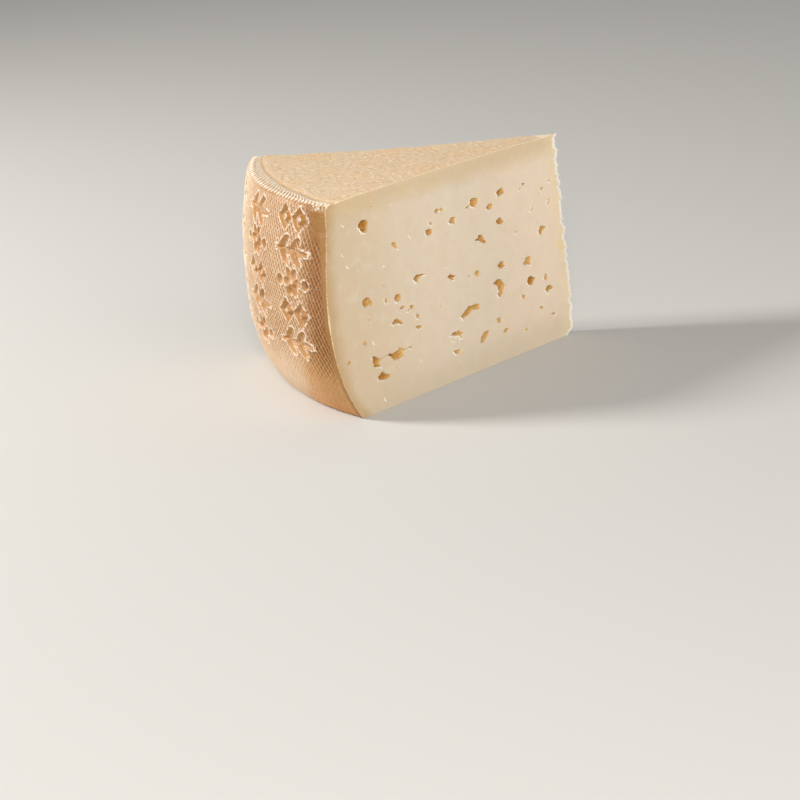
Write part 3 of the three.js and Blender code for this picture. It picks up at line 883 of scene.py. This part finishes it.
def wedge_mesh():
    mesh = Mesh()
    rind = rind_surface(mesh)
    tips = tip_edges(mesh)
    tip_surface(mesh, tips)
    edges = {}
    for side, column in ((FRONT, 0), (BACK, -1)):
        ids = rind[:, column]
        flat, tip = flat_on_cut(side, mesh.at(ids)), tips[side]
        top = edge_between(mesh, side, flat[-1, 0], tip[1][-1, 0], top_height)
        bottom = edge_between(mesh, side, flat[0, 0], tip[1][0, 0], lambda x, y: np.zeros_like(x))
        edges[side] = {"rind": (ids, flat), "top": top, "tip": tip, "bottom": bottom}
    for side in (FRONT, BACK):
        cut_surface(mesh, side, **edges[side])
    for edge, end, height_of, step, seed in (
        ("top", -1, top_height, TOP_STEP, TOP_SEED),
        ("bottom", 0, bottom_height, BOTTOM_STEP, BOTTOM_SEED),
    ):
        back, front = (edges[side][edge][0] for side in (BACK, FRONT))
        corner = [tips[where][0][end] for where in (BACK, "middle", FRONT)]
        outline = np.r_[rind[end], back, corner, front[::-1]]
        flat_surface(mesh, outline, height_of, step, seed, edge == "top")
    return mesh


# ---- Materials ----
def colour(red, green, blue):
    """A linear colour from the 0 to 255 values of a screen."""
    values = [v / 255 for v in (red, green, blue)]
    return tuple(v / 12.92 if v <= 0.04045 else ((v + 0.055) / 1.055) ** 2.4 for v in values) + (1.0,)


MIX_SOCKETS, MIX_RESULT = (0, 6, 7), 2  # a mix node's share and its sockets for colours


class Shader:
    """A material's node tree, with a short call for each kind of node that is used here."""

    def __init__(self, name):
        self.material = bpy.data.materials.new(name)
        self.material.use_nodes = True
        self.tree = self.material.node_tree
        self.tree.nodes.clear()
        self.surface = self.node("ShaderNodeBsdfPrincipled")
        output = self.tree.nodes.new("ShaderNodeOutputMaterial")
        self.tree.links.new(self.surface.outputs["BSDF"], output.inputs["Surface"])

    def node(self, kind, inputs=(), **settings):
        node = self.tree.nodes.new(kind)
        for key, value in settings.items():
            setattr(node, key, value)
        self.feed(node, inputs)
        return node

    def feed(self, node, inputs):
        """Link each input to a socket, or give it a value."""
        for key, value in dict(inputs).items():
            if isinstance(value, bpy.types.NodeSocket):
                self.tree.links.new(value, node.inputs[key])
            else:
                node.inputs[key].default_value = value

    def set(self, **values):
        self.feed(self.surface, {key.replace("_", " "): value for key, value in values.items()})

    def parts(self, attribute):
        """The three numbers of a corner's attribute, and the attribute itself."""
        source = self.node("ShaderNodeAttribute", attribute_name=attribute).outputs["Vector"]
        split = self.node("ShaderNodeSeparateXYZ", {"Vector": source})
        return (*(split.outputs[k] for k in "XYZ"), source)

    def stretched(self, vector, x, y):
        node = self.node("ShaderNodeVectorMath", {0: vector, 1: (x, y, 1.0)}, operation="MULTIPLY")
        return node.outputs["Vector"]

    def noise(self, vector, size, detail=2.0, roughness=0.5, distortion=0.0):
        inputs = {"Vector": vector, "Scale": 1 / size, "Detail": detail}
        inputs |= {"Roughness": roughness, "Distortion": distortion}
        return self.node("ShaderNodeTexNoise", inputs).outputs["Fac"]

    def patches(self, vector, size, low, high, start=0.0, end=1.0):
        return self.step(self.noise(vector, size), low, high, start, end)

    def cells(self, vector, size):
        inputs = {"Vector": vector, "Scale": 1 / size}
        return self.node("ShaderNodeTexVoronoi", inputs).outputs["Distance"]

    def math(self, operation, *values):
        return self.node("ShaderNodeMath", enumerate(values), operation=operation).outputs[0]

    def plus(self, a, b):
        return self.math("ADD", a, b)

    def wander(self, vector, size, reach):
        """Smooth noise between -reach and reach."""
        return self.math("MULTIPLY_ADD", self.noise(vector, size, 3), 2 * reach, -reach)

    def step(self, value, low, high, start=0.0, end=1.0):
        """start below low, end above high, and smooth between them."""
        inputs = {"Value": value, "From Min": low, "From Max": high, "To Min": start, "To Max": end}
        return self.node("ShaderNodeMapRange", inputs, interpolation_type="SMOOTHSTEP").outputs[0]

    def wave(self, cycles, low, high):
        """1 along the whole numbers of cycles, 0 between them."""
        turned = self.math("COSINE", self.math("MULTIPLY", cycles, 2 * math.pi))
        return self.step(turned, low, high)

    def blot(self, x, y, at, radius, wander):
        """1 within the radius of a place, fading out, with an uneven edge."""
        offsets = {"X": self.plus(x, -at[0]), "Y": self.plus(y, -at[1])}
        gap = self.node("ShaderNodeCombineXYZ", offsets).outputs[0]
        length = self.node("ShaderNodeVectorMath", {0: gap}, operation="LENGTH").outputs["Value"]
        return self.step(self.plus(length, wander), radius * 1.3, radius * 0.7)

    def times(self, *values):
        result = values[0]
        for value in values[1:]:
            result = self.math("MULTIPLY", result, value)
        return result

    def mix(self, base, other, share):
        """Between two colours; one that isn't worked out is given by its screen values."""
        tones = [colour(*tone) if isinstance(tone, tuple) else tone for tone in (base, other)]
        inputs = dict(zip(MIX_SOCKETS, (share, *tones), strict=True))
        return self.node("ShaderNodeMix", inputs, data_type="RGBA").outputs[MIX_RESULT]

    def paint(self, tone, *shares):
        """Lay a colour over the surface's, as far as all the shares let it show."""
        self.skin = self.mix(self.skin, tone, self.times(*shares))

    def finish(self, roughness, specular, weight, depth, radius=(1.0, 0.55, 0.25)):
        """The surface's colour and gloss, and how much light goes into it, how deep and of which colour."""
        self.set(Base_Color=self.skin, Roughness=roughness, Specular_IOR_Level=specular)
        self.set(Subsurface_Weight=weight, Subsurface_Scale=depth, Subsurface_Radius=radius)

    def bump(self, *layers):
        """layers are (height, distance in metres, strength), the coarsest first."""
        normal = None
        for height, distance, strength in layers:
            inputs = {"Height": height, "Distance": distance, "Strength": strength}
            if normal is not None:
                inputs["Normal"] = normal
            normal = self.node("ShaderNodeBump", inputs).outputs["Normal"]
        self.set(Normal=normal)


def paste_material():
    """Pale, moist, slightly uneven paste, yellower towards the rind, with painted ochre shade in the eyes.
    """
    m = Shader("asiago_paste")
    s, z, _, place = m.parts("place")
    cavity, rim, from_rind, _ = m.parts("relief")
    lip_and_highlight, tip_gap, shade, _ = m.parts("detail")
    clouds = m.noise(place, 26, 3, 0.55)
    mottle = m.noise(place, 8, 4, 0.55, 0.4)
    grain = m.noise(place, 0.8, 3, 0.6)
    m.skin = m.mix((231, 213, 189), (230, 214, 191), m.step(clouds, 0.38, 0.62))
    m.paint((246, 225, 200), m.step(s, 75, 12), 0.7)
    m.paint((206, 182, 148), m.step(s, 105, 180), 0.65)
    m.paint((216, 196, 168), m.step(mottle, 0.5, 0.75), 0.25)
    m.paint((238, 226, 207), m.step(mottle, 0.5, 0.25), 0.25)
    m.paint((214, 190, 156), m.step(grain, 0.56, 0.74), 0.25)
    wander = m.wander(place, 9, 3.0)
    from_top = m.plus(m.math("SUBTRACT", HEIGHT, z), wander)
    m.paint((216, 188, 144), m.step(from_top, 15, 3, 0, 0.6))
    m.paint((214, 196, 168), m.step(m.plus(z, wander), 22, 4, 0, 0.6))
    m.paint((192, 156, 104), m.step(m.plus(from_rind, wander), 10, 1.0, 0, 0.65))
    m.paint((238, 208, 132), m.blot(s, z, (4.5, 55), 4, wander), 0.5)
    m.paint((244, 222, 180), m.step(m.plus(tip_gap, wander), 13, 3, 0, 0.5))
    m.paint((255, 248, 236), m.step(m.plus(tip_gap, m.times(wander, 0.3)), 3.2, 1.4, 0, 0.95))
    nicked = m.patches(place, 1.3, 0.42, 0.55, 0.15, 0.8)
    m.paint((246, 228, 196), m.step(from_rind, 0.55, 0.25), nicked)
    # painted shade: the eyes are ochre inside, browner the deeper they are, and darkest on their shaded
    # side
    inside = m.mix((214, 174, 104), (178, 116, 16), m.step(cavity, 0.9, 3.2))
    inside = m.mix(inside, (222, 192, 136), m.times(m.step(m.noise(place, 1.6, 3), 0.5, 0.75), 0.4))
    shaded = m.times(m.step(shade, 0.15, 0.9), m.step(cavity, 0.2, 1.6), 0.85)
    inside = m.mix(inside, (150, 76, 0), shaded)
    m.paint(inside, m.step(rim, 0.0, -0.3), m.step(cavity, 0.2, 1.0, 0.5, 0.97))
    # painted highlight: near-white on the raised lips on the eyes' lit side
    m.paint((255, 252, 244), m.step(lip_and_highlight, 0.05, 0.7))
    drag = m.noise(m.stretched(place, 0.06, 1.0), 0.9, 3, 0.6)
    roughness = m.step(mottle, 0.3, 0.7, 0.42, 0.58)
    m.finish(roughness, specular=0.38, weight=0.35, depth=0.0022, radius=(1.0, 0.62, 0.3))
    m.set(IOR=1.44)
    m.bump((mottle, 0.0012, 0.14), (drag, 0.0005, 0.12), (grain, 0.0004, 0.35))
    return m.material


def rind_material():
    """The dry golden side of the rind: pale threads over brown pits, and a ribbed whitish bead."""
    m = Shader("asiago_rind")
    arc, height, run, place = m.parts("place")
    share, gap, from_cut, _ = m.parts("relief")
    steep, slanting, rib, _ = m.parts("detail")
    printed = m.step(share, 0.0, 1.0)
    ribbed = m.step(share, 1.0, 2.2)
    clouds = m.noise(place, 22, 3, 0.55)
    mottle = m.noise(place, 5, 4, 0.6)
    grain = m.noise(place, 0.55, 3, 0.65)
    wander = m.wander(place, 14, 8.0)
    little = m.wander(place, 4, 2.0)
    arc_about = m.plus(arc, wander)
    front = m.step(arc_about, -50, -68)
    back = m.step(arc_about, -6, 42)
    m.skin = m.mix((182, 143, 101), (167, 123, 75), m.step(clouds, 0.36, 0.62))
    m.paint((204, 168, 124), m.step(mottle, 0.5, 0.3), 0.45)
    m.paint((132, 78, 4), front, 0.92)
    m.paint((238, 216, 188), back, 0.75)
    low_colour = m.mix((204, 154, 94), (230, 200, 168), m.step(arc_about, -54, -36))
    m.paint(low_colour, m.step(m.plus(height, wander), 46, 20, 0, 0.8))
    # painted light: a warm glow along the foot towards the front
    painted_foot_glow = m.times(m.step(m.plus(height, little), 15, 3), m.step(arc, -20, -45))
    m.paint((206, 142, 74), painted_foot_glow, 0.7)

    sharp = m.mix(m.wave(steep, 0.0, 0.9), m.wave(steep, 0.55, 1.0), front)
    crossing = m.mix(m.wave(slanting, 0.2, 0.95), m.wave(slanting, 0.75, 1.0), front)
    crossing = m.times(crossing, m.patches(place, 3.5, 0.4, 0.6, 0.35, 0.9))
    threads = m.math("MAXIMUM", sharp, crossing)
    thread_colour = m.mix((212, 182, 148), (190, 140, 72), front)
    pit_colour = m.mix((158, 110, 62), (116, 66, 6), front)
    pit_colour = m.mix(pit_colour, (214, 176, 126), m.times(back, 0.7))
    m.paint(pit_colour, printed, m.step(threads, 0.5, 0.0), m.step(front, 0, 1, 0.45, 0.6))
    m.paint(thread_colour, printed, m.step(threads, 0.4, 0.95), 0.7)
    # painted highlight: small whitish glints on the threads
    painted_glint = m.times(m.patches(place, 1.1, 0.54, 0.66), m.step(threads, 0.5, 0.9))
    m.paint((250, 234, 216), painted_glint, printed, m.step(front, 0, 1, 0.65, 0.3))

    # painted shade: amber on the walls of the pressed strokes
    wall = m.times(m.step(gap, 0.3, -0.1), m.step(gap, -1.25, -0.55))
    m.paint((188, 130, 54), wall, 0.55)
    # painted highlight: pale patches on the raised rims round the strokes
    outer = m.times(m.step(gap, 0.2, 0.5), m.step(gap, 1.5, 0.9))
    m.paint((248, 232, 212), outer, m.patches(place, 2.2, 0.36, 0.56), 0.7)

    to_groove = m.math("SUBTRACT", float(run_along(rind_outline())[-1]), run)
    ragged = m.plus(to_groove, m.times(little, 0.35))
    m.paint((250, 228, 202), m.step(ragged, 8.4, 6.6), 0.9)
    ridges = m.wave(rib, -0.4, 0.7)
    gap_colour = m.mix((216, 174, 118), (164, 112, 40), m.step(ragged, 4.5, 8.5))
    m.paint(gap_colour, ribbed, m.step(ridges, 0.7, 0.2), m.step(ragged, 0.8, 2.0, 0.3, 0.85))
    m.paint((254, 242, 228), ribbed, m.step(ridges, 0.35, 0.85), m.step(ragged, 8.6, 7), 0.9)
    m.paint((178, 142, 92), m.step(to_groove, 0.9, 0.3), 0.7)

    high = m.step(m.plus(height, little), *CORNER_HEIGHTS)
    corner = m.times(m.step(m.plus(arc, little), -62, -66), high)
    m.paint((140, 90, 4), corner, m.step(height, *PRINT_END), 0.9)
    bloom = m.step(m.noise(place, 1.6, 3), 0.45, 0.6)
    m.paint((244, 230, 200), corner, m.step(height, 115, 119), bloom, 0.75)
    for at in ((-66.7, 85), (-64, 66)):
        m.paint((146, 94, 34), m.blot(arc, height, at, 3.0, little), 0.6)
    m.paint((184, 120, 70), m.blot(arc, height, (-56, 27), 4, little), 0.4)
    wider = m.plus(m.plus(from_cut, m.times(little, 0.5)), m.step(height, *STRIP_WIDENS, 0, -STRIP_EXTRA))
    m.paint((146, 102, 34), m.step(wider, 5.0, 1.8), m.step(height, 119.5, 117), 0.85)
    frayed = m.step(m.plus(from_cut, m.times(little, 0.15)), 0.5, 0.2)
    m.paint((236, 212, 166), frayed, m.patches(place, 1.3, 0.42, 0.55), 0.7)
    specks = m.times(m.step(m.cells(place, 6.5), 0.09, 0.02), m.patches(place, 30, 0.52, 0.62))
    sooty = m.blot(m.times(arc, 0.12), height, (-2.2, 41), 1.5, 0.0)
    soot = m.times(m.patches(place, 1.3, 0.58, 0.68), sooty)
    m.paint((112, 90, 72), m.math("MAXIMUM", specks, soot), 0.6)
    roughness = m.step(mottle, 0.3, 0.7, 0.32, 0.48)
    m.finish(roughness, specular=0.6, weight=0.12, depth=0.001)
    m.bump(
        (m.times(printed, threads), 0.0005, 0.5),
        (m.times(ribbed, ridges), 0.0004, 0.5),
        (mottle, 0.001, 0.25),
        (grain, 0.0005, 0.5),
    )
    return m.material


def top_material():
    """The grainy pinkish tan of the pressed top and bottom."""
    m = Shader("asiago_top")
    from_front, from_tip, from_groove, _ = m.parts("relief")
    _, _, _, place = m.parts("place")
    clouds = m.noise(place, 30, 3, 0.55)
    felt = m.noise(m.stretched(place, 1.0, 0.6), 2.6, 4, 0.65, 0.6)
    grain = m.noise(place, 0.6, 2, 0.6)
    m.skin = m.mix((224, 192, 152), (222, 196, 162), m.step(clouds, 0.35, 0.65))
    m.paint((246, 228, 206), m.step(felt, 0.52, 0.7), 0.7)
    m.paint((200, 160, 114), m.step(felt, 0.48, 0.3), 0.6)
    specks = m.times(m.step(m.cells(place, 9), 0.07, 0.015), m.patches(place, 24, 0.5, 0.6))
    m.paint((128, 104, 84), specks, 0.55)
    m.paint((196, 160, 112), m.step(from_groove, 1.6, 0.6, 0, 0.6))
    wander = m.wander(place, 3, 0.8)
    cut_edge = m.step(m.plus(from_front, wander), 1.1, 0.3)
    m.paint((246, 234, 208), cut_edge, 0.8)
    torn = m.plus(from_tip, m.wander(place, 4, 3.0))
    m.paint((242, 228, 198), m.step(torn, 13.0, 10.5, 0, 0.9))
    roughness = m.step(felt, 0.3, 0.7, 0.62, 0.5)
    m.finish(roughness, specular=0.36, weight=0.18, depth=0.0012)
    m.bump((felt, 0.0016, 0.5), (grain, 0.0005, 0.4))
    return m.material


# ---- Scene ----
CAMERA_FOCAL, CAMERA_SENSOR = 86.9, 36.0
CAMERA_TARGET = np.array([-69.0, 0.0, 60.0])
CAMERA_DISTANCE = 1119.0
CAMERA_YAW, CAMERA_PITCH, CAMERA_ROLL = (math.radians(v) for v in (-18.51, 20.29, -5.34))
CAMERA_SLIDE = (-18.4, -82.5)


def camera(shift):
    """A camera at the photo's viewing angle."""
    sine, cosine, flat = math.sin(CAMERA_YAW), math.cos(CAMERA_YAW), math.cos(CAMERA_PITCH)
    back = np.array([sine * flat, -cosine * flat, math.sin(CAMERA_PITCH)])
    level = np.array([cosine, sine, 0.0])
    steep = np.cross(back, level)
    right = level * math.cos(CAMERA_ROLL) + steep * math.sin(CAMERA_ROLL)
    up = -level * math.sin(CAMERA_ROLL) + steep * math.cos(CAMERA_ROLL)
    place = CAMERA_TARGET + back * CAMERA_DISTANCE + right * CAMERA_SLIDE[0] + up * CAMERA_SLIDE[1]
    data = bpy.data.cameras.new("camera")
    data.lens, data.sensor_width = CAMERA_FOCAL, CAMERA_SENSOR
    data.clip_start, data.clip_end = 0.05, 30
    made = bpy.data.objects.new("camera", data)
    bpy.context.scene.collection.objects.link(made)
    matrix = np.eye(4)
    matrix[:3, :3] = np.stack([right, up, back], 1)
    matrix[:3, 3] = (place + shift) * MM
    made.matrix_world = Matrix(matrix)
    bpy.context.scene.camera = made


def area_light(name, place, target, size, power, tint):
    data = bpy.data.lights.new(name, "AREA")
    data.shape = "DISK"
    data.size, data.energy, data.color = size, power, tint
    light = bpy.data.objects.new(name, data)
    bpy.context.scene.collection.objects.link(light)
    light.location = place
    light.rotation_euler = (Vector(target) - Vector(place)).to_track_quat("-Z", "Y").to_euler()


def studio():
    """A pale floor and soft light, stronger from the upper left."""
    bpy.ops.mesh.primitive_plane_add(size=12)
    floor = bpy.context.object
    floor.name = "floor"
    ground = Shader("pale_floor")
    ground.set(Base_Color=colour(206, 204, 200), Roughness=0.8, Specular_IOR_Level=0.2)
    floor.data.materials.append(ground.material)
    middle = (0, 0, 0.06)
    area_light("key", (-0.5, -1.54, 0.74), middle, 0.45, 16.5, (1, 0.98, 0.95))
    area_light("rim", (-1.28, 0.6, 1.0), middle, 0.4, 27, (1, 0.98, 0.95))
    area_light("fill", (0.3, -1.3, 1.2), middle, 1.0, 4, (1, 0.99, 0.98))
    world = bpy.data.worlds.new("studio")
    bpy.context.scene.world = world
    world.use_nodes = True
    world.node_tree.nodes["Background"].inputs["Color"].default_value = (1, 0.985, 0.965, 1)
    world.node_tree.nodes["Background"].inputs["Strength"].default_value = 0.32
    bpy.context.scene.view_settings.view_transform = "Standard"


def frame_shift():
    """From the wheel's axis to the frame's origin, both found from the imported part's box."""
    heights = np.linspace(0, HEIGHT, 241)
    reach = reach_to_radius(FRONT, heights, side_radius(heights))
    front = on_cut(FRONT, reach, heights)[:, 1].min()
    return np.array([LOW.x / MM + BULGE_RADIUS, LOW.y / MM - front, LOW.z / MM])


SHIFT = frame_shift()
camera(SHIFT)
studio()
wedge = wedge_mesh().build("asiago_wedge", [rind_material(), top_material(), paste_material()], SHIFT)
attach(wedge, "root")
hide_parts(NODE)
